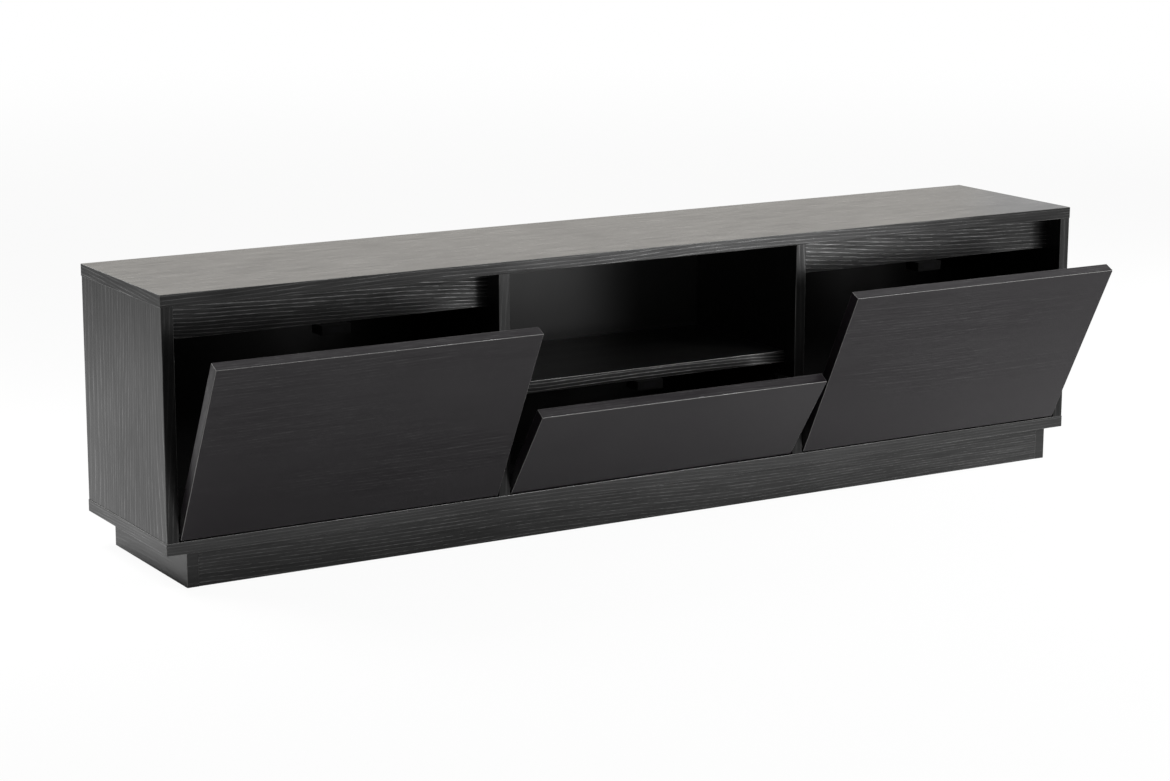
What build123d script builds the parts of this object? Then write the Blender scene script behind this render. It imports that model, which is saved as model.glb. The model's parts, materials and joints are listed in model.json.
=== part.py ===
# Low bench of wood-grain board with three fall flaps, an open niche and a recessed plinth.
# X runs along the width, Y from front to back and Z up; the origin is on the floor under the carcass.
from build123d import *
from math import asin, cos, degrees, radians, sin, sqrt
import os

os.makedirs("parts", exist_ok=True)

# Carcass sizes in millimetres
WIDTH = 1600.0
DEPTH = 291.0
HEIGHT = 419.0
BOARD = 18.0
END_LIP = 1.0
EDGE_EASE = 0.8

# Plinth: height, and how far it stands back under the bottom panel
PLINTH_HEIGHT = 51.0
PLINTH_SIDE_INSET = 32.0
PLINTH_FRONT_INSET = 6.0
PLINTH_BACK_INSET = 21.0

# Rails under the top, shelf of the centre bay and back panel
RAIL_HEIGHT = 52.0
RAIL_SETBACK = 34.0
SHELF_RISE = 161.0
SHELF_SETBACK = 28.0
BACK_THICKNESS = 3.0
BACK_INSET = 8.0
GROOVE_DEPTH = 6.0
GROOVE_PLAY = 0.1

# Flaps: gaps around them when shut, heights that follow from these, and angles in degrees from shut
FLAP_THICKNESS = 18.0
FLAP_SIDE_GAP = 2.5
FLAP_LOWER_GAP = 4.5
FLAP_STANDOUT = 2.5
FLAP_EASE = 1.0
FINGER_GAP = 29.5
LOW_FLAP_LIP = 5.5
TALL_FLAP_HEIGHT = HEIGHT - PLINTH_HEIGHT - 2 * BOARD - FLAP_LOWER_GAP - FINGER_GAP
LOW_FLAP_HEIGHT = SHELF_RISE - FLAP_LOWER_GAP + LOW_FLAP_LIP
TALL_OPEN_ANGLE = 26.9
LOW_OPEN_ANGLE = 34.8
OPEN_LIMIT = 70.0

# Pivot plates let into the flaps' ends and into the uprights
PIVOT_BEHIND_FACE = 7.5
PIVOT_ABOVE_EDGE = 5.0
PIN_DIAMETER = 5.0
PIN_PLAY = 0.05
PIN_TAIL = 3.0
COLLAR_DIAMETER = 8.0
COLLAR_PLAY = 0.2
PLATE_THICKNESS = 2.0
PLATE_WIDTH = 10.0
PLATE_MARGIN = 4.0
PLATE_CORNER = 2.0
PLATE_SCREW_START = 13.0
PLATE_SCREW_PITCH = 18.0
PLATE_TIP = 6.0

# Curved stay arms, centred on the pivot axis, and the brake blocks they slide through
STAY_RADIUS = 110.0
STAY_HEADROOM = 34.0
ARM_WIDTH = 12.0
ARM_THICKNESS = 2.0
ARM_STANDOFF = 8.0
FOOT_WIDTH = 16.0
FOOT_DROP = 26.0
FOOT_RISE = 6.0
FOOT_SCREW_PITCH = 16.0
PEG_DIAMETER = 6.0
PEG_REACH = 2.5
GUIDE_LENGTH = 10.0
GUIDE_WALL = 3.5
GUIDE_PLAY = 0.5
GUIDE_SIDE_PLAY = 0.3
GUIDE_EAR = 8.0
GUIDE_BASE = 3.0
STOP_PLAY = 0.3

# Magnetic catches under the rails and the shelf, and strike plates screwed on below the flaps' top edges
CATCH_WIDTH = 46.0
CATCH_DEPTH = 32.0
CATCH_HEIGHT = 14.0
CATCH_EASE = 1.5
CATCH_PLAY = 0.3
CATCH_SCREW_SPREAD = 30.0
CATCH_SLOT_START = 12.0
CATCH_SLOT_LENGTH = 17.0
MAGNET_WIDTH = 22.0
MAGNET_HEIGHT = 8.0
MAGNET_DEPTH = 9.0
STRIKE_WIDTH = 40.0
STRIKE_HEIGHT = 12.0
STRIKE_THICKNESS = 1.5
STRIKE_SCREW_SPREAD = 30.0
STRIKE_DROP = 30.0

# Small countersunk screws of the fittings; the driver's cross is a share of the head
SCREW_SHANK = 3.0
SCREW_HEAD = 5.2
SCREW_LENGTH = 14.0
SCREW_TIP_GAP = 1.0
SCREW_PLAY = 0.05
SCREW_SLOT = 0.7
SCREW_CROSS = 0.6

# Long connecting screws in the shelf's ends
SHELF_SCREW_SHANK = 5.0
SHELF_SCREW_HEAD = 9.0
SHELF_SCREW_LENGTH = 50.0
SHELF_SCREW_EDGE = 50.0

# Wooden dowels
DOWEL_DIAMETER = 8.0
DOWEL_IN_FACE = 11.0
DOWEL_IN_END = 22.0
DOWEL_CHAMFER = 0.8
DOWEL_PLAY = 0.05
DOWEL_END_GAP = 0.5

# Cam fittings between the uprights and the top and bottom panels
CAM_DIAMETER = 15.0
CAM_DEPTH = 12.5
CAM_REACH = 24.0
CAM_CROSS = 8.0
CAM_CROSS_SLOT = 1.4
CAM_CROSS_DEPTH = 2.2
BOLT_THREAD = 6.0
BOLT_SHANK = 4.8
BOLT_HEAD = 7.0
BOLT_HEAD_LENGTH = 4.0
BOLT_IN_FACE = 11.0
BOLT_PLAY = 0.3
CAM_FROM_FRONT = 78.0
CAM_FROM_BACK = 50.0
DOWEL_FROM_CAM = 32.0

# Angle brackets inside the plinth
BRACKET_LEG = 25.0
BRACKET_WIDTH = 20.0
BRACKET_THICKNESS = 2.0
BRACKET_END_MARGIN = 120.0
PLINTH_DOWEL_EDGE = 14.0

# Planes and lines that the pieces share
front = -DEPTH / 2
back = DEPTH / 2
floor_z = PLINTH_HEIGHT + BOARD
ceiling_z = HEIGHT - BOARD
side_x = WIDTH / 2 - END_LIP - BOARD / 2
bay_width = (WIDTH - 2 * END_LIP - 4 * BOARD) / 3
divider_x = bay_width / 2 + BOARD / 2
side_face = side_x - BOARD / 2
divider_outer = divider_x + BOARD / 2
divider_inner = divider_x - BOARD / 2
groove_front = back - BACK_INSET - BACK_THICKNESS - GROOVE_PLAY
groove_width = BACK_THICKNESS + 2 * GROOVE_PLAY
pivot_y = front - FLAP_STANDOUT + PIVOT_BEHIND_FACE
pivot_z = floor_z + FLAP_LOWER_GAP + PIVOT_ABOVE_EDGE
inner_face = FLAP_THICKNESS - PIVOT_BEHIND_FACE
plate_length = PLATE_MARGIN + PLATE_SCREW_START + PLATE_SCREW_PITCH + PLATE_TIP
plate_axis = PLATE_WIDTH / 2 - PLATE_MARGIN
rail_low = ceiling_z - RAIL_HEIGHT
shelf_top = floor_z + SHELF_RISE
shelf_low = shelf_top - BOARD
frame_screw_length = BOARD / 2 - SCREW_TIP_GAP
screw_head_height = (SCREW_HEAD - SCREW_SHANK) / 2

UP = (0, 0, 1)
DOWN = (0, 0, -1)
LEFT = (-1, 0, 0)
RIGHT = (1, 0, 0)
FRONT = (0, -1, 0)
BACK = (0, 1, 0)

# Uprights: place along X, and the way their cam locks face
UPRIGHTS = {
    "left_side_panel": (-side_x, RIGHT),
    "left_divider": (-divider_x, LEFT),
    "right_divider": (divider_x, RIGHT),
    "right_side_panel": (side_x, LEFT),
}

# Bays: left and right wall, flap height, opening at rest, stay radius, seat of the catch
low_stay_radius = shelf_low - floor_z - STAY_HEADROOM
tall = (TALL_FLAP_HEIGHT, TALL_OPEN_ANGLE, STAY_RADIUS, rail_low, RAIL_SETBACK)
low = (LOW_FLAP_HEIGHT, LOW_OPEN_ANGLE, low_stay_radius, shelf_low, SHELF_SETBACK)
BAYS = {
    "left": (-side_face, -divider_outer, *tall),
    "centre": (-divider_inner, divider_inner, *low),
    "right": (divider_outer, side_face, *tall),
}

# Cylinders that start or end at the plane they are placed on
RISING = (Align.CENTER, Align.CENTER, Align.MIN)
SUNK = (Align.CENTER, Align.CENTER, Align.MAX)


def keep(piece, name):
    """Label a finished piece and write it as its own file."""
    piece.part.label = name
    export_step(piece.part, f"parts/{name}.step")


def at(x, y, z, facing):
    """Plane at a point, with its normal out of the material that is drilled."""
    return Plane(origin=(x, y, z), z_dir=facing)


def places(planes):
    """Locations of a list of planes."""
    return Locations(*[plane.location for plane in planes])


def slab(x0, x1, y0, y1, z0, z1):
    """Add a rectangular board between two opposite corners."""
    with Locations(((x0 + x1) / 2, (y0 + y1) / 2, (z0 + z1) / 2)):
        Box(x1 - x0, y1 - y0, z1 - z0)


def drill(planes, diameter, depth):
    """Drill blind holes into the material behind each plane."""
    with places(planes):
        Hole(radius=diameter / 2, depth=depth)


def cut_groove(x0, x1, z0, z1):
    """Cut the groove that holds the back panel's edge."""
    with Locations(((x0 + x1) / 2, groove_front + groove_width / 2, (z0 + z1) / 2)):
        Box(x1 - x0, groove_width, z1 - z0, mode=Mode.SUBTRACT)


def add_screws(planes, shank, head, length):
    """Countersunk screws with a cross slot, heads flush with their planes."""
    with places(planes):
        Cylinder(shank / 2, length, align=SUNK)
        Cone(shank / 2, head / 2, (head - shank) / 2, align=SUNK)
        Box(head * SCREW_CROSS, SCREW_SLOT, 2 * SCREW_SLOT, mode=Mode.SUBTRACT)
        Box(SCREW_SLOT, head * SCREW_CROSS, 2 * SCREW_SLOT, mode=Mode.SUBTRACT)


def sink(planes, shank, head, depth):
    """Clearance holes with a countersink for flush screw heads."""
    with places(planes):
        CounterSinkHole(shank / 2 + SCREW_PLAY, head / 2 + SCREW_PLAY, depth, counter_sink_angle=90)


def add_dowels(planes):
    """Dowels lying across a joint: the plane faces out of the board's end."""
    with places([plane.offset(-DOWEL_IN_END) for plane in planes]):
        Cylinder(DOWEL_DIAMETER / 2, DOWEL_IN_END + DOWEL_IN_FACE, align=RISING)


def drill_dowels(planes, depth):
    """Holes for dowels, a little deeper than the dowel reaches."""
    drill(planes, DOWEL_DIAMETER + 2 * DOWEL_PLAY, depth + DOWEL_END_GAP)


def pivot_plane(x, angle):
    """Plane across the pivot axis: local x runs through the flap's thickness, local y up the flap."""
    through = (0, cos(radians(angle)), sin(radians(angle)))
    return Plane(origin=(x, pivot_y, pivot_z), x_dir=through, z_dir=RIGHT)


def on_pivot(plane, y, z, facing):
    """Plane at a point of a pivot plane, facing a given way."""
    return Plane(origin=plane.from_local_coords(Vector(y, z, 0)), z_dir=facing)


def plate_outline(plane):
    """Outline of a pivot plate, which both leaves of a pivot share."""
    with BuildSketch(plane) as outline:
        with Locations((plate_axis, plate_length / 2 - PLATE_MARGIN)):
            RectangleRounded(PLATE_WIDTH, plate_length, PLATE_CORNER)
    return outline.sketch


def plate_screws(x, angle, facing):
    """Places of the two screws of a pivot plate."""
    plane = pivot_plane(x, angle)
    heights = (PLATE_SCREW_START, PLATE_SCREW_START + PLATE_SCREW_PITCH)
    return [on_pivot(plane, plate_axis, height, facing) for height in heights]


def guide_angle(radius):
    """Angle of a brake block behind the pivot's vertical, so that the open arm ends level with the pivot."""
    return 90 - OPEN_LIMIT - stop_angle(radius)


def stop_angle(radius):
    """Angle from a brake block's middle to the peg that rests against it."""
    return degrees((GUIDE_LENGTH / 2 + PEG_DIAMETER / 2 + STOP_PLAY) / radius)


def guide_plane(x, radius):
    """Plane on an upright's face with local x along the arm's travel and local y away from the pivot."""
    tilt = radians(guide_angle(radius))
    middle = (x, pivot_y + radius * sin(tilt), pivot_z + radius * cos(tilt))
    return Plane(origin=middle, x_dir=(0, cos(tilt), -sin(tilt)), z_dir=RIGHT)


guide_height = ARM_WIDTH + 2 * GUIDE_PLAY + 2 * GUIDE_WALL


def guide_screws(x, radius):
    """Places of the two screws in a brake block's ears."""
    plane = guide_plane(x - GUIDE_BASE, radius)
    reach = guide_height / 2 + GUIDE_EAR / 2
    points = [plane.from_local_coords(Vector(0, side * reach, 0)) for side in (-1, 1)]
    return [Plane(origin=point, z_dir=LEFT) for point in points]


def foot_height(radius):
    """Height above the pivot at which a stay arm meets its flap's inner face."""
    return sqrt(radius ** 2 - inner_face ** 2)


def arm_x(right):
    """Middle of a stay arm's thickness, beside the bay's right wall."""
    return right - ARM_STANDOFF - ARM_THICKNESS / 2


def foot_screws(right, angle, radius):
    """Places of the two screws in a stay arm's foot."""
    plane = pivot_plane(arm_x(right) - ARM_THICKNESS / 2 - FOOT_WIDTH / 2, angle)
    middle = foot_height(radius) - (FOOT_DROP - FOOT_RISE) / 2
    heights = (middle - FOOT_SCREW_PITCH / 2, middle + FOOT_SCREW_PITCH / 2)
    return [on_pivot(plane, inner_face + ARM_THICKNESS, height, plane.x_dir) for height in heights]


def strike_screw_height(flap_height):
    """Height of a strike plate's screws above the pivot."""
    return flap_height - PIVOT_ABOVE_EDGE - STRIKE_DROP


def strike_screws(middle, angle, flap_height):
    """Places of the two screws of a strike plate."""
    planes = [pivot_plane(middle + side * STRIKE_SCREW_SPREAD / 2, angle) for side in (-1, 1)]
    height = strike_screw_height(flap_height)
    return [on_pivot(plane, inner_face + STRIKE_THICKNESS, height, plane.x_dir) for plane in planes]


def catch_screws(middle, seat, setback):
    """Places of the two screws that hold a catch up against its seat."""
    y = front + setback + BOARD / 2
    z = seat - CATCH_HEIGHT
    return [at(middle + side * CATCH_SCREW_SPREAD / 2, y, z, DOWN) for side in (-1, 1)]


# Joints of the uprights with the top and bottom panels
cam_rows = (front + CAM_FROM_FRONT, back - CAM_FROM_BACK)
dowel_rows = (front + CAM_FROM_FRONT + DOWEL_FROM_CAM, back - CAM_FROM_BACK - DOWEL_FROM_CAM)
upright_places = [x for x, facing in UPRIGHTS.values()]


def rows(x_places, y_places, z, facing):
    """Planes at every crossing of the given places."""
    return [at(x, y, z, facing) for x in x_places for y in y_places]


# Rails' dowels: planes out of the rails' ends
rail_heights = (rail_low + RAIL_HEIGHT / 4, rail_low + RAIL_HEIGHT * 3 / 4)
rail_y = front + RAIL_SETBACK + BOARD / 2
rail_ends = {
    "left_side_panel": [at(-side_face, rail_y, z, LEFT) for z in rail_heights],
    "left_divider": [at(-divider_outer, rail_y, z, RIGHT) for z in rail_heights],
    "right_divider": [at(divider_outer, rail_y, z, LEFT) for z in rail_heights],
    "right_side_panel": [at(side_face, rail_y, z, RIGHT) for z in rail_heights],
}

# Shelf's connecting screws, driven from the outer bays
shelf_rows = (front + SHELF_SETBACK + SHELF_SCREW_EDGE, groove_front - SHELF_SCREW_EDGE)
shelf_z = shelf_top - BOARD / 2
shelf_screw_places = {
    "left_divider": [at(-divider_outer, y, shelf_z, LEFT) for y in shelf_rows],
    "right_divider": [at(divider_outer, y, shelf_z, RIGHT) for y in shelf_rows],
}

# Plinth's inner faces, and the angle brackets' screws up into the bottom panel and out into the plinth
plinth_y0 = front + PLINTH_FRONT_INSET
plinth_y1 = back - PLINTH_BACK_INSET
plinth_front_back = plinth_y0 + BOARD
plinth_back_front = plinth_y1 - BOARD
plinth_inner = WIDTH / 2 - PLINTH_SIDE_INSET - BOARD
bracket_reach = plinth_inner - BRACKET_END_MARGIN
bracket_x = (-bracket_reach, -bracket_reach / 3, bracket_reach / 3, bracket_reach)
bracket_y = (plinth_front_back + BRACKET_LEG / 2, plinth_back_front - BRACKET_LEG / 2)
bracket_side_z = PLINTH_HEIGHT - BRACKET_LEG / 2 - BRACKET_THICKNESS / 2
bracket_up = rows(bracket_x, bracket_y, PLINTH_HEIGHT - BRACKET_THICKNESS, DOWN)
bracket_front = rows(bracket_x, [plinth_front_back + BRACKET_THICKNESS], bracket_side_z, BACK)
bracket_back = rows(bracket_x, [plinth_back_front - BRACKET_THICKNESS], bracket_side_z, FRONT)
bracket_screw_places = bracket_up + bracket_front + bracket_back

# Top and bottom panels, which lie across all four uprights
for name, z0, joint_z, facing in (
    ("top_panel", ceiling_z, ceiling_z, DOWN),
    ("bottom_panel", PLINTH_HEIGHT, floor_z, UP),
):
    with BuildPart() as panel:
        slab(-WIDTH / 2, WIDTH / 2, front, back, z0, z0 + BOARD)
        fillet(panel.edges(), EDGE_EASE)
        groove_x = side_face + GROOVE_DEPTH
        cut_groove(-groove_x, groove_x, joint_z - GROOVE_DEPTH, joint_z + GROOVE_DEPTH)
        drill_dowels(rows(upright_places, dowel_rows, joint_z, facing), DOWEL_IN_FACE)
        drill(rows(upright_places, cam_rows, joint_z, facing), BOLT_THREAD + 2 * SCREW_PLAY, BOLT_IN_FACE)
        if name == "bottom_panel":
            drill(bracket_up, SCREW_SHANK + 2 * SCREW_PLAY, SCREW_LENGTH)
    keep(panel, name)

# Side panels and dividers, with the seats of every fitting that they carry
for name, (x, cam_facing) in UPRIGHTS.items():
    is_side = name.endswith("side_panel")
    cam_face = x + cam_facing[0] * BOARD / 2
    with BuildPart() as upright:
        slab(x - BOARD / 2, x + BOARD / 2, front, back if is_side else groove_front, floor_z, ceiling_z)
        fillet(upright.edges().filter_by(Axis.Z), EDGE_EASE)
        if is_side:
            cut_groove(cam_face - GROOVE_DEPTH, cam_face + GROOVE_DEPTH, floor_z, ceiling_z)
        for joint_z, facing in ((ceiling_z, UP), (floor_z, DOWN)):
            drill_dowels(rows([x], dowel_rows, joint_z, facing), DOWEL_IN_END)
            drill(rows([x], cam_rows, joint_z, facing), BOLT_HEAD + 2 * BOLT_PLAY, CAM_REACH)
            cam_z = joint_z - facing[2] * CAM_REACH
            drill(rows([cam_face], cam_rows, cam_z, cam_facing), CAM_DIAMETER, CAM_DEPTH)
        drill_dowels([Plane(origin=p.origin, z_dir=-p.z_dir) for p in rail_ends[name]], DOWEL_IN_FACE)
        if not is_side:
            sink(shelf_screw_places[name], SHELF_SCREW_SHANK, SHELF_SCREW_HEAD, BOARD)
        for bay_left, bay_right, flap_height, angle, radius, seat, setback in BAYS.values():
            for wall, facing in ((bay_left, RIGHT), (bay_right, LEFT)):
                if abs(wall - x - facing[0] * BOARD / 2) > EDGE_EASE:
                    continue
                seat_plane = pivot_plane(wall, 0)
                into_wall = -facing[0] * PLATE_THICKNESS
                extrude(plate_outline(seat_plane), amount=into_wall, mode=Mode.SUBTRACT)
                drill([on_pivot(seat_plane, 0, 0, facing)], PIN_DIAMETER + 2 * GUIDE_PLAY,
                      PLATE_THICKNESS + PIN_TAIL + GUIDE_PLAY)
                drill(plate_screws(wall, 0, facing), SCREW_SHANK + 2 * SCREW_PLAY, frame_screw_length)
                if facing == LEFT:
                    drill(guide_screws(wall, radius), SCREW_SHANK + 2 * SCREW_PLAY,
                          frame_screw_length + GUIDE_BASE)
    keep(upright, name)

# Shelf between the dividers, over the low flap's compartment
with BuildPart() as shelf:
    slab(-divider_inner, divider_inner, front + SHELF_SETBACK, groove_front, shelf_low, shelf_top)
    fillet(shelf.edges().filter_by(Axis.X), EDGE_EASE)
    for side, facing in ((-1, LEFT), (1, RIGHT)):
        drill([at(side * divider_inner, y, shelf_z, facing) for y in shelf_rows],
              SHELF_SCREW_SHANK + 2 * SCREW_PLAY, SHELF_SCREW_LENGTH - BOARD + DOWEL_END_GAP)
    drill([at(p.origin.X, p.origin.Y, shelf_low, DOWN) for p in catch_screws(0, shelf_low, SHELF_SETBACK)],
          SCREW_SHANK + 2 * SCREW_PLAY, SCREW_LENGTH)
keep(shelf, "centre_shelf")

# Rails under the top, set back behind the tall flaps
for bay, side_name, divider_name in (
    ("left", "left_side_panel", "left_divider"),
    ("right", "right_divider", "right_side_panel"),
):
    bay_left, bay_right = BAYS[bay][:2]
    rail_middle = (bay_left + bay_right) / 2
    with BuildPart() as rail:
        slab(bay_left, bay_right, front + RAIL_SETBACK, front + RAIL_SETBACK + BOARD, rail_low, ceiling_z)
        fillet(rail.edges().filter_by(Axis.X), EDGE_EASE)
        drill_dowels(rail_ends[side_name] + rail_ends[divider_name], DOWEL_IN_END)
        seat_screws = catch_screws(rail_middle, rail_low, RAIL_SETBACK)
        drill([at(p.origin.X, p.origin.Y, rail_low, DOWN) for p in seat_screws],
              SCREW_SHANK + 2 * SCREW_PLAY, SCREW_LENGTH)
    keep(rail, f"{bay}_rail")

# Thin back panel, slid into the grooves and standing on the bottom one
with BuildPart() as back_panel:
    groove_x = side_face + GROOVE_DEPTH - GROOVE_PLAY
    slab(-groove_x, groove_x, groove_front + GROOVE_PLAY, groove_front + GROOVE_PLAY + BACK_THICKNESS,
         floor_z - GROOVE_DEPTH, ceiling_z + GROOVE_DEPTH - GROOVE_PLAY)
keep(back_panel, "back_panel")

# Plinth boards: the front, back and cross boards stand between the two sides
plinth_dowel_z = (PLINTH_DOWEL_EDGE, PLINTH_HEIGHT - PLINTH_DOWEL_EDGE)
plinth_rows = (plinth_y0 + BOARD / 2, plinth_y1 - BOARD / 2)
plinth_corners = {
    "plinth_left": [at(-plinth_inner, y, z, LEFT) for y in plinth_rows for z in plinth_dowel_z],
    "plinth_right": [at(plinth_inner, y, z, RIGHT) for y in plinth_rows for z in plinth_dowel_z],
}
cross_ends = {
    "plinth_front": [at(0, plinth_front_back, z, FRONT) for z in plinth_dowel_z],
    "plinth_back": [at(0, plinth_back_front, z, BACK) for z in plinth_dowel_z],
}

for name, x0 in (("plinth_left", -plinth_inner - BOARD), ("plinth_right", plinth_inner)):
    with BuildPart() as plinth_side:
        slab(x0, x0 + BOARD, plinth_y0, plinth_y1, 0, PLINTH_HEIGHT)
        fillet(plinth_side.edges().filter_by(Axis.Z), EDGE_EASE)
        drill_dowels([Plane(origin=p.origin, z_dir=-p.z_dir) for p in plinth_corners[name]], DOWEL_IN_FACE)
    keep(plinth_side, name)

for name, y0, row, bracket_holes in (
    ("plinth_front", plinth_y0, plinth_rows[0], bracket_front),
    ("plinth_back", plinth_y1 - BOARD, plinth_rows[1], bracket_back),
):
    with BuildPart() as plinth_board:
        slab(-plinth_inner, plinth_inner, y0, y0 + BOARD, 0, PLINTH_HEIGHT)
        fillet(plinth_board.edges().filter_by(Axis.X), EDGE_EASE)
        ends = [p for planes in plinth_corners.values() for p in planes if abs(p.origin.Y - row) < EDGE_EASE]
        drill_dowels(ends, DOWEL_IN_END)
        drill_dowels([Plane(origin=p.origin, z_dir=-p.z_dir) for p in cross_ends[name]], DOWEL_IN_FACE)
        drill(bracket_holes, SCREW_SHANK + 2 * SCREW_PLAY, SCREW_LENGTH)
    keep(plinth_board, name)

with BuildPart() as cross_board:
    slab(-BOARD / 2, BOARD / 2, plinth_front_back, plinth_back_front, 0, PLINTH_HEIGHT)
    drill_dowels(cross_ends["plinth_front"] + cross_ends["plinth_back"], DOWEL_IN_END)
keep(cross_board, "plinth_cross_rail")

# Angle brackets between the plinth and the bottom panel, and their screws
with BuildPart() as brackets:
    for inside, way in ((plinth_front_back, 1), (plinth_back_front, -1)):
        for x in bracket_x:
            x_span = (x - BRACKET_WIDTH / 2, x + BRACKET_WIDTH / 2)
            y_leg = sorted((inside, inside + way * BRACKET_THICKNESS))
            y_arm = sorted((inside, inside + way * BRACKET_LEG))
            slab(*x_span, *y_leg, PLINTH_HEIGHT - BRACKET_LEG, PLINTH_HEIGHT)
            slab(*x_span, *y_arm, PLINTH_HEIGHT - BRACKET_THICKNESS, PLINTH_HEIGHT)
    sink(bracket_screw_places, SCREW_SHANK, SCREW_HEAD, BRACKET_THICKNESS)
keep(brackets, "plinth_brackets")

with BuildPart() as bracket_screws:
    add_screws(bracket_screw_places, SCREW_SHANK, SCREW_HEAD, SCREW_LENGTH)
keep(bracket_screws, "plinth_bracket_screws")

# Wooden dowels of the carcass, the rails and the plinth
upper_joints = rows(upright_places, dowel_rows, ceiling_z, UP)
lower_joints = rows(upright_places, dowel_rows, floor_z, DOWN)
for name, planes in (
    ("carcass_dowels", upper_joints + lower_joints),
    ("rail_dowels", [p for ends in rail_ends.values() for p in ends]),
    ("plinth_dowels", [p for ends in (plinth_corners | cross_ends).values() for p in ends]),
):
    with BuildPart() as dowels:
        add_dowels(planes)
        chamfer(dowels.edges().filter_by(GeomType.CIRCLE), DOWEL_CHAMFER)
    keep(dowels, name)

# Connecting screws that hold the shelf between the dividers
with BuildPart() as shelf_screws:
    for planes in shelf_screw_places.values():
        add_screws(planes, SHELF_SCREW_SHANK, SHELF_SCREW_HEAD, SHELF_SCREW_LENGTH)
keep(shelf_screws, "shelf_screws")

# Cam locks in the uprights' faces, each with a bore for its bolt and a cross for the driver
with BuildPart() as cam_locks:
    for x, facing in UPRIGHTS.values():
        face = x + facing[0] * BOARD / 2
        for joint_z, way in ((ceiling_z, UP), (floor_z, DOWN)):
            with places(rows([face], cam_rows, joint_z - way[2] * CAM_REACH, facing)):
                Cylinder(CAM_DIAMETER / 2 - SCREW_PLAY, CAM_DEPTH, align=SUNK)
                Box(CAM_CROSS, CAM_CROSS_SLOT, 2 * CAM_CROSS_DEPTH, mode=Mode.SUBTRACT)
                Box(CAM_CROSS_SLOT, CAM_CROSS, 2 * CAM_CROSS_DEPTH, mode=Mode.SUBTRACT)
            with places(rows([x], cam_rows, joint_z, way)):
                Cylinder(BOLT_HEAD / 2 + BOLT_PLAY, CAM_REACH + BOLT_HEAD_LENGTH / 2 + BOLT_PLAY,
                         align=SUNK, mode=Mode.SUBTRACT)
keep(cam_locks, "cam_locks")

# Bolts from the top and bottom panels into the cam locks
with BuildPart() as cam_bolts:
    for joint_z, way in ((ceiling_z, UP), (floor_z, DOWN)):
        joints = rows(upright_places, cam_rows, joint_z, way)
        with places(joints):
            Cylinder(BOLT_THREAD / 2, BOLT_IN_FACE, align=RISING)
            Cylinder(BOLT_SHANK / 2, CAM_REACH, align=SUNK)
        with places([plane.offset(-CAM_REACH) for plane in joints]):
            Cylinder(BOLT_HEAD / 2, BOLT_HEAD_LENGTH)
keep(cam_bolts, "cam_bolts")

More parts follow.
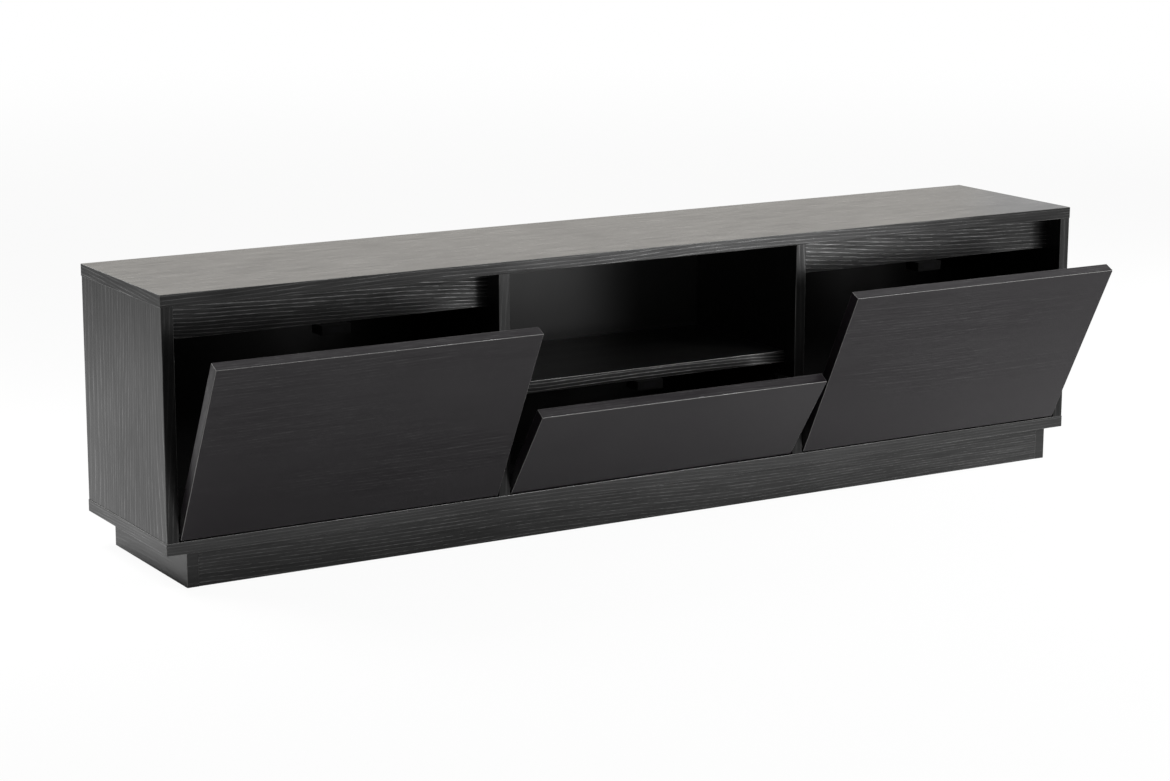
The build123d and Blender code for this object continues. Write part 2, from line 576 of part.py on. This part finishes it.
# Flaps with their pivots, stays and catches, modelled at the opening that the bench is shown with
for bay, (bay_left, bay_right, flap_height, angle, radius, seat, setback) in BAYS.items():
    flap_left = bay_left + FLAP_SIDE_GAP
    flap_right = bay_right - FLAP_SIDE_GAP
    middle = (bay_left + bay_right) / 2
    flap_ends = ((flap_left, 1, LEFT), (flap_right, -1, RIGHT))
    end_screws = [p for x, inward, facing in flap_ends for p in plate_screws(x, angle, facing)]
    face_screws = foot_screws(bay_right, angle, radius)
    plate_face_screws = strike_screws(middle, angle, flap_height)

    # Flap board, eased all round, with seats for the pivot plates in its ends
    with BuildPart() as flap:
        with BuildSketch(pivot_plane(flap_left, angle)):
            with Locations((-PIVOT_BEHIND_FACE, -PIVOT_ABOVE_EDGE)):
                Rectangle(FLAP_THICKNESS, flap_height, align=(Align.MIN, Align.MIN))
        extrude(amount=flap_right - flap_left)
        fillet(flap.edges(), FLAP_EASE)
        for x, inward, facing in flap_ends:
            into_end = inward * PLATE_THICKNESS
            extrude(plate_outline(pivot_plane(x, angle)), amount=into_end, mode=Mode.SUBTRACT)
        drill(end_screws + face_screws + plate_face_screws, SCREW_SHANK + 2 * SCREW_PLAY, SCREW_LENGTH)
    keep(flap, f"{bay}_flap")

    # Pivot plates in the flap's ends, with the pins that turn in the uprights
    with BuildPart() as flap_pivots:
        for x, inward, facing in flap_ends:
            extrude(plate_outline(pivot_plane(x, angle)), amount=inward * PLATE_THICKNESS)
            with BuildSketch(pivot_plane(x, angle)):
                Circle(COLLAR_DIAMETER / 2)
            extrude(amount=-inward * (FLAP_SIDE_GAP - COLLAR_PLAY))
            with BuildSketch(pivot_plane(x, angle)):
                Circle(PIN_DIAMETER / 2)
            extrude(amount=-inward * (FLAP_SIDE_GAP + PLATE_THICKNESS + PIN_TAIL))
        sink(end_screws, SCREW_SHANK, SCREW_HEAD, PLATE_THICKNESS)
    keep(flap_pivots, f"{bay}_flap_pivots")

    # Pivot plates in the uprights, in which the pins turn
    wall_screws = plate_screws(bay_left, 0, RIGHT) + plate_screws(bay_right, 0, LEFT)
    with BuildPart() as frame_pivots:
        for x, outward in ((bay_left, -1), (bay_right, 1)):
            extrude(plate_outline(pivot_plane(x, 0)), amount=outward * PLATE_THICKNESS)
            with BuildSketch(pivot_plane(x, 0)):
                Circle(PIN_DIAMETER / 2 + PIN_PLAY)
            extrude(amount=outward * PLATE_THICKNESS, mode=Mode.SUBTRACT)
        sink(wall_screws, SCREW_SHANK, SCREW_HEAD, PLATE_THICKNESS)
    keep(frame_pivots, f"{bay}_frame_pivots")

    # Stay arm: a curved strip on a screwed foot, with a stop peg at its free end
    arm_left = arm_x(bay_right) - ARM_THICKNESS / 2
    peg_angle = OPEN_LIMIT + guide_angle(radius) + stop_angle(radius)
    meeting_angle = degrees(asin(inner_face / radius))
    with BuildPart() as stay_arm:
        with BuildSketch(pivot_plane(arm_left, angle)):
            with BuildLine(mode=Mode.PRIVATE) as arc:
                CenterArc((0, 0), radius, 90 - peg_angle, peg_angle - meeting_angle)
            SlotArc(arc.edges()[0], ARM_WIDTH)
            with Locations((inner_face, 0)):
                Rectangle(radius, 2 * (radius + ARM_WIDTH), align=(Align.MAX, Align.CENTER),
                          mode=Mode.SUBTRACT)
        extrude(amount=ARM_THICKNESS)
        with BuildSketch(pivot_plane(arm_left + ARM_THICKNESS, angle)):
            with Locations((inner_face, foot_height(radius) - FOOT_DROP)):
                Rectangle(ARM_THICKNESS, FOOT_DROP + FOOT_RISE, align=(Align.MIN, Align.MIN))
        extrude(amount=-FOOT_WIDTH - ARM_THICKNESS)
        with BuildSketch(pivot_plane(arm_left - PEG_REACH, angle)):
            with Locations((radius * sin(radians(peg_angle)), radius * cos(radians(peg_angle)))):
                Circle(PEG_DIAMETER / 2)
        extrude(amount=ARM_THICKNESS + 2 * PEG_REACH)
        sink(face_screws, SCREW_SHANK, SCREW_HEAD, ARM_THICKNESS)
    keep(stay_arm, f"{bay}_stay_arm")

    # Brake block on the right wall, through which the stay arm slides
    wall_guide_screws = guide_screws(bay_right, radius)
    with BuildPart() as stay_guide:
        block = ARM_STANDOFF + ARM_THICKNESS + GUIDE_SIDE_PLAY + GUIDE_WALL
        with BuildSketch(guide_plane(bay_right, radius)):
            RectangleRounded(GUIDE_LENGTH, guide_height + 2 * GUIDE_EAR, PLATE_CORNER)
        extrude(amount=-GUIDE_BASE)
        with BuildSketch(guide_plane(bay_right, radius)):
            Rectangle(GUIDE_LENGTH, guide_height)
        extrude(amount=-block)
        with BuildSketch(guide_plane(bay_right - ARM_STANDOFF + GUIDE_SIDE_PLAY, radius)):
            Rectangle(2 * GUIDE_LENGTH, ARM_WIDTH + 2 * GUIDE_PLAY)
        extrude(amount=-ARM_THICKNESS - 2 * GUIDE_SIDE_PLAY, mode=Mode.SUBTRACT)
        sink(wall_guide_screws, SCREW_SHANK, SCREW_HEAD, GUIDE_BASE)
    keep(stay_guide, f"{bay}_stay_guide")

    # Magnetic catch with slotted screw holes, and its magnet
    catch_y = pivot_y + inner_face + STRIKE_THICKNESS + CATCH_PLAY
    seat_screws = catch_screws(middle, seat, setback)
    with BuildPart() as catch:
        slab(middle - CATCH_WIDTH / 2, middle + CATCH_WIDTH / 2, catch_y, catch_y + CATCH_DEPTH,
             seat - CATCH_HEIGHT, seat)
        fillet(catch.edges().filter_by(Axis.Z), CATCH_EASE)
        slot_y = catch_y + CATCH_SLOT_START + CATCH_SLOT_LENGTH / 2
        for side in (-1, 1):
            slot_x = middle + side * CATCH_SCREW_SPREAD / 2
            with BuildSketch(at(slot_x, slot_y, seat, UP)):
                SlotOverall(CATCH_SLOT_LENGTH, SCREW_SHANK + 2 * SCREW_PLAY, rotation=90)
            extrude(amount=-CATCH_HEIGHT, mode=Mode.SUBTRACT)
            with BuildSketch(at(slot_x, slot_y, seat - CATCH_HEIGHT, UP)):
                SlotOverall(CATCH_SLOT_LENGTH + screw_head_height, SCREW_HEAD + 2 * SCREW_PLAY, rotation=90)
            extrude(amount=screw_head_height, mode=Mode.SUBTRACT)
        magnet_z = seat - CATCH_HEIGHT / 2
        with Locations((middle, catch_y + MAGNET_DEPTH / 2, magnet_z)):
            Box(MAGNET_WIDTH, MAGNET_DEPTH, MAGNET_HEIGHT, mode=Mode.SUBTRACT)
    keep(catch, f"{bay}_catch")

    with BuildPart() as magnet:
        slab(middle - MAGNET_WIDTH / 2, middle + MAGNET_WIDTH / 2, catch_y, catch_y + MAGNET_DEPTH,
             magnet_z - MAGNET_HEIGHT / 2, magnet_z + MAGNET_HEIGHT / 2)
    keep(magnet, f"{bay}_catch_magnet")

    # Strike plate on the flap's inner face, which reaches from its screws to the level of the magnet
    strike_low, strike_high = sorted((strike_screw_height(flap_height), magnet_z - pivot_z))
    with BuildPart() as strike:
        with BuildSketch(pivot_plane(middle - STRIKE_WIDTH / 2, angle)):
            with Locations((inner_face, strike_low - STRIKE_HEIGHT / 2)):
                Rectangle(STRIKE_THICKNESS, strike_high - strike_low + STRIKE_HEIGHT,
                          align=(Align.MIN, Align.MIN))
        extrude(amount=STRIKE_WIDTH)
        sink(plate_face_screws, SCREW_SHANK, SCREW_HEAD, STRIKE_THICKNESS)
    keep(strike, f"{bay}_strike_plate")

    # Screws in the flap, and screws in the walls around it
    with BuildPart() as flap_screws:
        add_screws(end_screws + face_screws + plate_face_screws, SCREW_SHANK, SCREW_HEAD, SCREW_LENGTH)
    keep(flap_screws, f"{bay}_flap_screws")

    with BuildPart() as frame_screws:
        add_screws(wall_screws, SCREW_SHANK, SCREW_HEAD, frame_screw_length)
        add_screws(wall_guide_screws, SCREW_SHANK, SCREW_HEAD, frame_screw_length + GUIDE_BASE)
        add_screws(seat_screws, SCREW_SHANK, SCREW_HEAD, CATCH_HEIGHT + SCREW_LENGTH - SCREW_TIP_GAP)
    keep(frame_screws, f"{bay}_frame_screws")
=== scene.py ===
import json
from math import pi, radians

import bmesh
import bpy
from mathutils import Matrix, Vector


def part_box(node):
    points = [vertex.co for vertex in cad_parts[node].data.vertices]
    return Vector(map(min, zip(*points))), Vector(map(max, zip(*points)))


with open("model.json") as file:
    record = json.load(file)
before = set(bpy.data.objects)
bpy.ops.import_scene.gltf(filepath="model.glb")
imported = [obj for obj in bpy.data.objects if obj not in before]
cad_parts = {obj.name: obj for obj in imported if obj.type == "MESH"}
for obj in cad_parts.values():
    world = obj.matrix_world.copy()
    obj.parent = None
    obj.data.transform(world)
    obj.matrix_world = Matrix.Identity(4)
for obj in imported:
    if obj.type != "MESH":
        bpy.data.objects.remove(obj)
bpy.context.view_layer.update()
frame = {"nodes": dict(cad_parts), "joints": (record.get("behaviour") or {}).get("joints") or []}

# Plinth: four boards and a cross board of black wood-grain melamine, dowelled at the corners.
# The decor runs along each board and is pressed into its face, so that the veins catch the light.
class Shade:
    """One output of a material's nodes; sums and products of outputs add Math nodes."""

    def __init__(self, tree, socket=None):
        self.tree = tree
        self.socket = socket

    def node(self, kind, settings, sockets, output=None):
        """Add a node with its settings, then its sockets' values or links, and give one of its outputs."""
        node = self.tree.nodes.new("ShaderNode" + kind)
        for name, value in settings.items():
            setattr(node, name, value)
        feed(node, sockets)
        given = [s for s in node.outputs if s.enabled and output in (None, s.name)]
        return Shade(self.tree, given[0])

    def maths(self, operation, *values):
        return self.node("Math", {"operation": operation}, dict(enumerate((self, *values))))

    def between(self, low, high):
        """Smooth step from 0 at low to 1 at high."""
        return self.node("MapRange", {"interpolation_type": "SMOOTHSTEP"},
                         {"Value": self, "From Min": low, "From Max": high})

    def __add__(self, other):
        return self.maths("ADD", other)

    __radd__ = __add__

    def __mul__(self, other):
        return self.maths("MULTIPLY", other)

    __rmul__ = __mul__

    def __sub__(self, other):
        return self.maths("SUBTRACT", other)

    def __rsub__(self, other):
        return self * -1 + other


def feed(node, sockets):
    """Set or link a node's inputs, given by name or by number."""
    for key, value in sockets.items():
        named = [s for s in node.inputs if s.enabled and s.name == key]
        socket = named[0] if named else node.inputs[key]
        if isinstance(value, Shade):
            value.tree.links.new(value.socket, socket)
        else:
            socket.default_value = value


def blend(factor, first, second, kind="RGBA"):
    """The first colour or vector where the factor is 0, and the second where it is 1."""
    return factor.node("Mix", {"data_type": kind}, {"Factor": factor, "A": first, "B": second})


def vector_maths(operation, *vectors, output="Vector"):
    """A Vector Math node, whose first vector is an output of other nodes."""
    return vectors[0].node("VectorMath", {"operation": operation}, dict(enumerate(vectors)), output)


def bump(height, strength, depth):
    """A raised surface for a shader's Normal, where depth is in metres."""
    return height.node("Bump", {}, {"Strength": strength, "Distance": depth, "Height": height})


def grey(value):
    return (value, value, value, 1)


def new_material(name):
    """A plain node material, with its shader and a start for its expressions."""
    material = bpy.data.materials.new(name)
    material.use_nodes = True
    shader = material.node_tree.nodes["Principled BSDF"]
    return material, shader, Shade(material.node_tree)


def paint(material, *names):
    """Give CAD nodes a material in all their slots."""
    for name in names:
        for slot in frame["nodes"][name].material_slots:
            slot.material = material


BOARD_BLACK = grey(0.003)
VEIN_GREY = (0.014, 0.0138, 0.0135, 1)
# Light grey for a painted highlight on the rounded edges.
EDGE_HIGHLIGHT_GREY = (0.2, 0.198, 0.194, 1)
VEINS_PER_METRE = 150
DEPTH_SHARE = 0.83
VEIN_START = 0.66
VEIN_PEAK = 0.86
LEAST_SHINE = 0.02
COAT_IOR = 1.8


def wood_grain(name, along, ends, tilt=0.0, pitch=1.0, skew=0.0, vein=1.0, band_vein=1.0, gloss=0.38,
               band_gloss=1.0, dashed=0.4, patches=0.0, edge_highlight=0.6, ground=BOARD_BLACK, veined=VEIN_GREY):
    """Black wood decor along one axis of a board, and along another on its ends.

    tilt turns the decor with a leaning board, pitch packs the veins closer and skew slants them.
    vein and gloss say how strongly the veins and the ground shine, and band_vein and band_gloss change
    that on the front. dashed breaks the veins up, patches leaves bare areas in front, and worn paints a
    highlight on the rounded edges by paling them.
    """
    material, shader, start = new_material(name)
    place = start.node("TexCoord", {}, {}, "Object")
    facing = start.node("TexCoord", {}, {}, "Normal")
    turned = start.node("Mapping", {"vector_type": "POINT"}, {"Vector": place, "Rotation": (-tilt, 0, 0)})
    faced = start.node("Mapping", {"vector_type": "VECTOR"}, {"Vector": facing, "Rotation": (-tilt, 0, 0)})
    axes = {a: start.node("SeparateXYZ", {}, {"Vector": turned}, a) for a in "XYZ"}
    sides = {a: start.node("SeparateXYZ", {}, {"Vector": faced}, a).maths("ABSOLUTE") for a in "XYZ"}

    def square_to(axis):
        """1 on the faces square to an axis, and 0 on the others."""
        return sides[axis].between(0.6, 0.8)

    def lengthwise(first):
        """The place on the board, with one axis put first."""
        rest = [a for a in "XYZ" if a != first]
        return start.node("CombineXYZ", {}, {"X": axes[first], "Y": axes[rest[0]], "Z": axes[rest[1]]})

    grain = blend(square_to(along), lengthwise(along), lengthwise(ends), "VECTOR")

    def noise(lengthways, crossways, detail):
        """Noise from 0 to 1, with so many lumps per metre along the grain and across it."""
        stretched = vector_maths("MULTIPLY", grain, (lengthways, crossways, crossways))
        return start.node("TexNoise", {}, {"Vector": stretched, "Scale": 1.0, "Detail": detail}, "Fac")

    # Yearly veins: thin shiny lines on a dull ground, bent by long and short waves and dotted with pores
    across = pitch * VEINS_PER_METRE
    crossing = vector_maths("DOT_PRODUCT", grain, (skew, across, DEPTH_SHARE * across), output="Value")
    bend = noise(0.9, 5, 1) * 18 + noise(6, 30, 1) * 0.8 + noise(40, 250, 0) * 0.2
    year = (crossing + bend).maths("FRACT")
    fibre = noise(12, 260, 2)
    pores = noise(90, 500, 1).between(0.48, 0.62)
    line = year.between(VEIN_START, VEIN_PEAK) * (1 - year.between(VEIN_PEAK, 1.0))
    veins = line * (0.45 + fibre.between(0.35, 0.6) * 0.55) * (1 - dashed + pores * dashed)
    tone = noise(1.6, 18, 3)
    front_band = square_to("Y")

    def on_band(share):
        """A share on the front band, and 1 elsewhere."""
        return front_band * (share - 1) + 1

    bare = 1 - noise(1.5, 9, 2).between(0.42, 0.62)
    strength = on_band(band_vein) * (1 - bare * front_band * patches) * vein
    decor = blend(veins * strength, ground, veined)
    # Painted highlight: the rounded edges are paled towards a light grey that stands in for their glint.
    flat = sides["X"].maths("MAXIMUM", sides["Y"].maths("MAXIMUM", sides["Z"]))
    arris = (1 - flat).between(0.02, 0.15)
    vein_shine = (veins * 0.9 + fibre * 0.5 + tone * 0.3 - 0.5) * strength
    cloud = noise(4, 4, 2) * 0.6 + 0.7
    ground_shine = on_band(band_gloss) * cloud * gloss
    feed(shader, {
        "Base Color": blend(arris * edge_highlight, decor, EDGE_HIGHLIGHT_GREY),
        "Roughness": 0.24 + tone * 0.14,
        "Specular IOR Level": 0.1,
        "Coat Weight": (vein_shine + ground_shine).maths("MAXIMUM", LEAST_SHINE),
        "Coat Roughness": 0.22,
        "Coat IOR": COAT_IOR,
        "Normal": bump((veins + fibre * 0.4) * strength, 0.15, 0.0003),
    })
    return material


plinth_grain = wood_grain("plinth_grain_lengthwise", "X", "Y", pitch=1.6, vein=0.85, gloss=0.42, dashed=0.6)
paint(plinth_grain, "plinth_front", "plinth_back")
depth_grain = wood_grain("plinth_grain_depthwise", "Y", "X", vein=0.3, gloss=0.33)
paint(depth_grain, "plinth_left", "plinth_right", "plinth_cross_rail")

# Bottom and top panel: full-length boards of the same melamine with banded edges.
# They lie across the four uprights and are drawn onto them by cam bolts.
bottom_grain = wood_grain("bottom_panel_grain", "X", "Y", pitch=1.6, vein=0.7, band_vein=0.7, gloss=0.38,
                          band_gloss=1.15)
paint(bottom_grain, "bottom_panel")
top_grain = wood_grain("top_panel_grain", "X", "Y", pitch=1.5, band_vein=0.65, gloss=0.28, band_gloss=0.84)
paint(top_grain, "top_panel")

# Side panels and dividers: upright boards, with the decor running from floor to top.
# Dowels and cam locks hold them between the bottom and the top panel.
upright_grain = wood_grain("upright_grain", "Z", "Y", pitch=0.75, vein=0.55, band_vein=0.7, gloss=0.36,
                           band_gloss=0.47, edge_highlight=0.15)
paint(upright_grain, "left_side_panel", "right_side_panel", "left_divider", "right_divider")

# Shelf of the open niche, with a paler front band, and the two rails under the top, set back from the front.
# The shelf is screwed through the dividers, and the rails are dowelled between the uprights.
SHELF_GREY = (0.16, 0.159, 0.156, 1)
rail_grain = wood_grain("rail_grain", "X", "Y", pitch=1.3, skew=12, vein=1.5, gloss=0.35, dashed=0.5)
paint(rail_grain, "left_rail", "right_rail")
shelf_grain = wood_grain("shelf_grain", "X", "Y", pitch=1.8, vein=0.2, band_vein=5, veined=SHELF_GREY)
paint(shelf_grain, "centre_shelf")

# Back panel: thin hardboard, slid into grooves all round, with a smooth black lacquer towards the bays.
# Its rear face is matt and shows the faint wire mesh that it was pressed on, with a wire every 2 mm.
MESH_SCALE = 160.0


def speckled(name, lumps, detail):
    """A new material with its shader and a noise from 0 to 1 in the piece's own coordinates."""
    material, shader, start = new_material(name)
    place = start.node("TexCoord", {}, {}, "Object")
    speck = start.node("TexNoise", {}, {"Vector": place, "Scale": lumps, "Detail": detail}, "Fac")
    return material, shader, speck


back_black, shader, dust = speckled("lacquered_hardboard", 14.0, 5.0)
place = dust.node("TexCoord", {}, {}, "Object")
facing = dust.node("TexCoord", {}, {}, "Normal")
rear = dust.node("SeparateXYZ", {}, {"Vector": facing}, "Y").between(0.5, 0.9)
upright_wires, level_wires = [
    dust.node("TexWave", {"bands_direction": axis}, {"Vector": place, "Scale": MESH_SCALE}, "Fac")
    for axis in "XZ"]
lacquer = blend(dust, grey(0.005), grey(0.009))
bare_board = blend(dust, (0.043, 0.043, 0.042, 1), (0.07, 0.069, 0.067, 1))
feed(shader, {
    "Base Color": blend(rear, lacquer, bare_board),
    "Roughness": 0.6 + dust * 0.2,
    "Specular IOR Level": 0.05,
    "Coat Weight": (1 - rear) * (0.16 + dust * 0.06),
    "Coat Roughness": 0.26,
    "Coat IOR": COAT_IOR,
    "Normal": bump(upright_wires * level_wires * rear, 0.3, 0.0004),
})
paint(back_black, "back_panel")

# Dowels: turned beech pegs, glued into the boards' ends.
# Only a pulled joint shows them.
beech, shader, streak = speckled("beech", 260.0, 3.0)
feed(shader, {"Base Color": blend(streak, (0.50, 0.33, 0.18, 1), (0.66, 0.48, 0.30, 1)), "Roughness": 0.6})
paint(beech, "carcass_dowels", "rail_dowels", "plinth_dowels")

# Cam locks, cam bolts and the screws of shelf and plinth: small steel and die-cast pieces with a zinc coat.
# The locks sit flush in the uprights' faces, and the screws are driven home.
zinc, shader, cloud = speckled("zinc_plate", 320.0, 4.0)
feed(shader, {
    "Base Color": blend(cloud, (0.42, 0.42, 0.43, 1), (0.68, 0.68, 0.69, 1)),
    "Metallic": 1.0,
    "Roughness": 0.28 + cloud * 0.2,
})
paint(zinc, "cam_locks", "cam_bolts", "shelf_screws", "plinth_bracket_screws")

# Angle brackets in the plinth and the curved stay arms: pressed steel, powder-coated black.
# Each arm is screwed to its flap and slides through the brake block on the wall beside it.
BAYS = ("left", "centre", "right")
powder_black, shader, peel = speckled("black_powder_coat", 900.0, 2.0)
feed(shader, {
    "Base Color": blend(peel, grey(0.004), grey(0.008)),
    "Roughness": 0.5 + peel * 0.2,
    "Specular IOR Level": 0.25,
    "Normal": bump(peel, 0.35, 0.0002),
})
paint(powder_black, "plinth_brackets", *[f"{bay}_stay_arm" for bay in BAYS])

# Brake blocks and catches: moulded black nylon with a fine sparked texture.
# The blocks grip the stay arms, and the catches hang under the rails and the shelf.
nylon, shader, spark = speckled("moulded_nylon", 1600.0, 1.0)
feed(shader, {
    "Base Color": blend(spark, grey(0.002), grey(0.006)),
    "Roughness": 0.75 + spark * 0.15,
    "Specular IOR Level": 0.02,
    "Normal": bump(spark, 0.3, 0.0001),
})
paint(nylon, *[f"{bay}_{piece}" for bay in BAYS for piece in ("stay_guide", "catch")])

# Magnets: sintered ferrite blocks pressed into the catches' noses.
# They are dull dark grey with a speckled break.
ferrite, shader, speck = speckled("ferrite", 2200.0, 2.0)
feed(shader, {
    "Base Color": blend(speck.between(0.4, 0.7), grey(0.003), (0.009, 0.009, 0.01, 1)),
    "Roughness": 0.8,
    "Specular IOR Level": 0.02,
})
paint(ferrite, *[f"{bay}_catch_magnet" for bay in BAYS])

# Flaps: inset boards hung on pivots at their lower ends, with a finer and duller decor than the carcass.
# They lean open at rest, so the decor is turned with them. Their pivots and screws are coated black,
# and a zinc strike plate near each upper edge meets its catch.
FLAP_BLACK = (0.009, 0.0072, 0.009, 1)
BLACK_FITTINGS = ("flap_pivots", "frame_pivots", "flap_screws", "frame_screws")
lean = {joint["child"]: radians(-joint["range_deg"][0]) for joint in frame["joints"]}
for bay in BAYS:
    flap_grain = wood_grain(f"{bay}_flap_grain", "X", "Z", tilt=lean[f"{bay}_flap_body"], pitch=1.5, vein=0.7,
                            band_vein=0.6, gloss=0.165, band_gloss=1.2, dashed=0.75, patches=0.8, edge_highlight=1.0,
                            ground=FLAP_BLACK)
    paint(flap_grain, f"{bay}_flap")
    paint(powder_black, *[f"{bay}_{piece}" for piece in BLACK_FITTINGS])
    paint(zinc, f"{bay}_strike_plate")

# Studio floor: a pale round sheet that the bench stands on and that is no part of it.
# The camera sees it nearly white, with the bench's shadow, and plain white further out.
# Reflections see a painted shade on it: dark at the plinth's foot, white in front of that and dimmer again in
# the room.
FLOOR_RADIUS = 20.0
FLOOR_SEGMENTS = 96
FLOOR_DROP = 0.0005
SEEN_WHITE = 0.94
FOOT_SHADE_WHITE, FRONT_WHITE, ROOM_DIM_WHITE = 0.03, 0.95, 0.35
FRONT_START = 0.38
FRONT_END, ROOM_START = 0.8, 2.2
SHEET_END, WHITE_START = 2.6, 7.0
floor_shape = bmesh.new()
bmesh.ops.create_circle(floor_shape, cap_ends=True, segments=FLOOR_SEGMENTS, radius=FLOOR_RADIUS)
bmesh.ops.translate(floor_shape, vec=(0, 0, -FLOOR_DROP), verts=floor_shape.verts)
floor_mesh = bpy.data.meshes.new("studio_floor")
floor_shape.to_mesh(floor_mesh)
floor_shape.free()
floor = bpy.data.objects.new("studio_floor", floor_mesh)
bpy.context.scene.collection.objects.link(floor)


def rays(start, *kinds):
    """1 for rays of these kinds, and 0 for others."""
    found = [start.node("LightPath", {}, {}, f"Is {kind} Ray") for kind in kinds]
    return sum(found[1:], found[0])


floor_white, shader, start = new_material("studio_floor")
feed(shader, {"Base Color": grey(0.9), "Roughness": 0.9, "Specular IOR Level": 0.0})
place = start.node("TexCoord", {}, {}, "Object")
foot_low, foot_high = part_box("plinth_front")
beside = vector_maths("ABSOLUTE", vector_maths("SUBTRACT", place, (foot_low + foot_high) / 2))
beyond = vector_maths("MAXIMUM", vector_maths("SUBTRACT", beside, (foot_high - foot_low) / 2), (0, 0, 0))
away = vector_maths("LENGTH", beyond, output="Value")
# Painted shade in reflections: less white at the plinth's foot and again further out, so the reflected floor
# is darker there.
gained = away.between(0.0, FRONT_START) * (FRONT_WHITE - FOOT_SHADE_WHITE)
painted_room_dimming = away.between(FRONT_END, ROOM_START) * (FRONT_WHITE - ROOM_DIM_WHITE)
reflected_white_painted_shade = FOOT_SHADE_WHITE + gained - painted_room_dimming
near = rays(start, "Camera") * SEEN_WHITE + rays(start, "Glossy", "Transmission") * reflected_white_painted_shade
far = rays(start, "Camera", "Glossy", "Transmission")
spread = vector_maths("LENGTH", place, output="Value").between(SHEET_END, WHITE_START)
lit = Shade(floor_white.node_tree, shader.outputs["BSDF"])
white = start.node("Emission", {}, {"Color": grey(1), "Strength": 1.0})
sheet = start.node("MixShader", {}, {0: near + (far - near) * spread, 1: lit, 2: white})
feed(floor_white.node_tree.nodes["Material Output"], {"Surface": sheet})
floor_mesh.materials.append(floor_white)

# Studio light: a high key box and a low one at the front right, one at the right end and one overhead.
# A box over the floor at the left and a warm one behind light what the left side and the top mirror.
# The room is a dim white, which the camera and reflections see as plain white.
ROOM_LIGHT = 0.06
BENCH_MIDDLE = (0.0, -0.1, 0.25)
WARM = (1, 0.75, 0.35)
world = bpy.data.worlds.new("white_room")
bpy.context.scene.world = world
world.use_nodes = True
world.node_tree.nodes.clear()
start = Shade(world.node_tree)
dim = start.node("Background", {}, {"Color": grey(1), "Strength": ROOM_LIGHT})
white = start.node("Background", {}, {"Color": grey(1), "Strength": 1.0})
room = start.node("MixShader", {}, {0: rays(start, "Camera", "Glossy", "Transmission"), 1: dim, 2: white})
feed(world.node_tree.nodes.new("ShaderNodeOutputWorld"), {"Surface": room})


def soft_box(name, place, aim, size, power, colour=(1, 1, 1)):
    """A rectangular lamp that shines from its place towards a point."""
    lamp = bpy.data.lights.new(name, "AREA")
    lamp.shape = "RECTANGLE"
    lamp.size, lamp.size_y = size
    lamp.energy = power
    lamp.color = colour
    lamp_object = bpy.data.objects.new(name, lamp)
    bpy.context.scene.collection.objects.link(lamp_object)
    lamp_object.location = place
    lamp_object.rotation_euler = (Vector(aim) - Vector(place)).to_track_quat("-Z", "Y").to_euler()


soft_box("key_box", place=(1.8, -2.24, 2.3), aim=BENCH_MIDDLE, size=(0.8, 0.8), power=42)
soft_box("low_box", place=(1.42, -2.28, 0.25), aim=BENCH_MIDDLE, size=(0.9, 0.45), power=11)
soft_box("right_box", place=(2.79, -0.34, 0.8), aim=BENCH_MIDDLE, size=(0.8, 0.8), power=90)
soft_box("overhead_box", place=(1.0, -1.8, 2.4), aim=(0.9, -0.8, 0), size=(0.9, 0.9), power=26)
soft_box("floor_box", place=(-1.15, 0.48, 1.0), aim=(-1.15, 0.48, 0), size=(0.6, 0.6), power=20)
soft_box("back_box", place=(1.75, 3.85, 1.35), aim=(0.0, 0.0, 0.42), size=(3.4, 1.1), power=2.4, colour=WARM)

# Camera: where the photograph was taken from, worked out from the bench's edges in it.
# Lengths are metres, apart from the sensor's millimetres, and the picture is 1170 by 781 pixels.
PICTURE_WIDTH = 1170
FOCAL_PIXELS = 2874.3
SENSOR_WIDTH = 36
CAMERA_YAW = radians(-31.081)
CAMERA_PITCH = radians(12.343)
CAMERA_ROLL = radians(0.229)
CAMERA_AIM = Vector((-0.0382, 0, 0.1759))
CAMERA_DISTANCE = 4.4544
lens = bpy.data.cameras.new("camera")
lens.sensor_width = SENSOR_WIDTH
lens.lens = FOCAL_PIXELS / PICTURE_WIDTH * SENSOR_WIDTH
camera = bpy.data.objects.new("camera", lens)
bpy.context.scene.collection.objects.link(camera)
turn = (Matrix.Rotation(CAMERA_YAW, 4, "Z") @ Matrix.Rotation(pi / 2 - CAMERA_PITCH, 4, "X")
        @ Matrix.Rotation(CAMERA_ROLL, 4, "Z"))
camera.matrix_world = Matrix.Translation(CAMERA_AIM) @ turn @ Matrix.Translation((0, 0, CAMERA_DISTANCE))
bpy.context.scene.camera = camera
bpy.context.scene.view_settings.view_transform = "Standard"
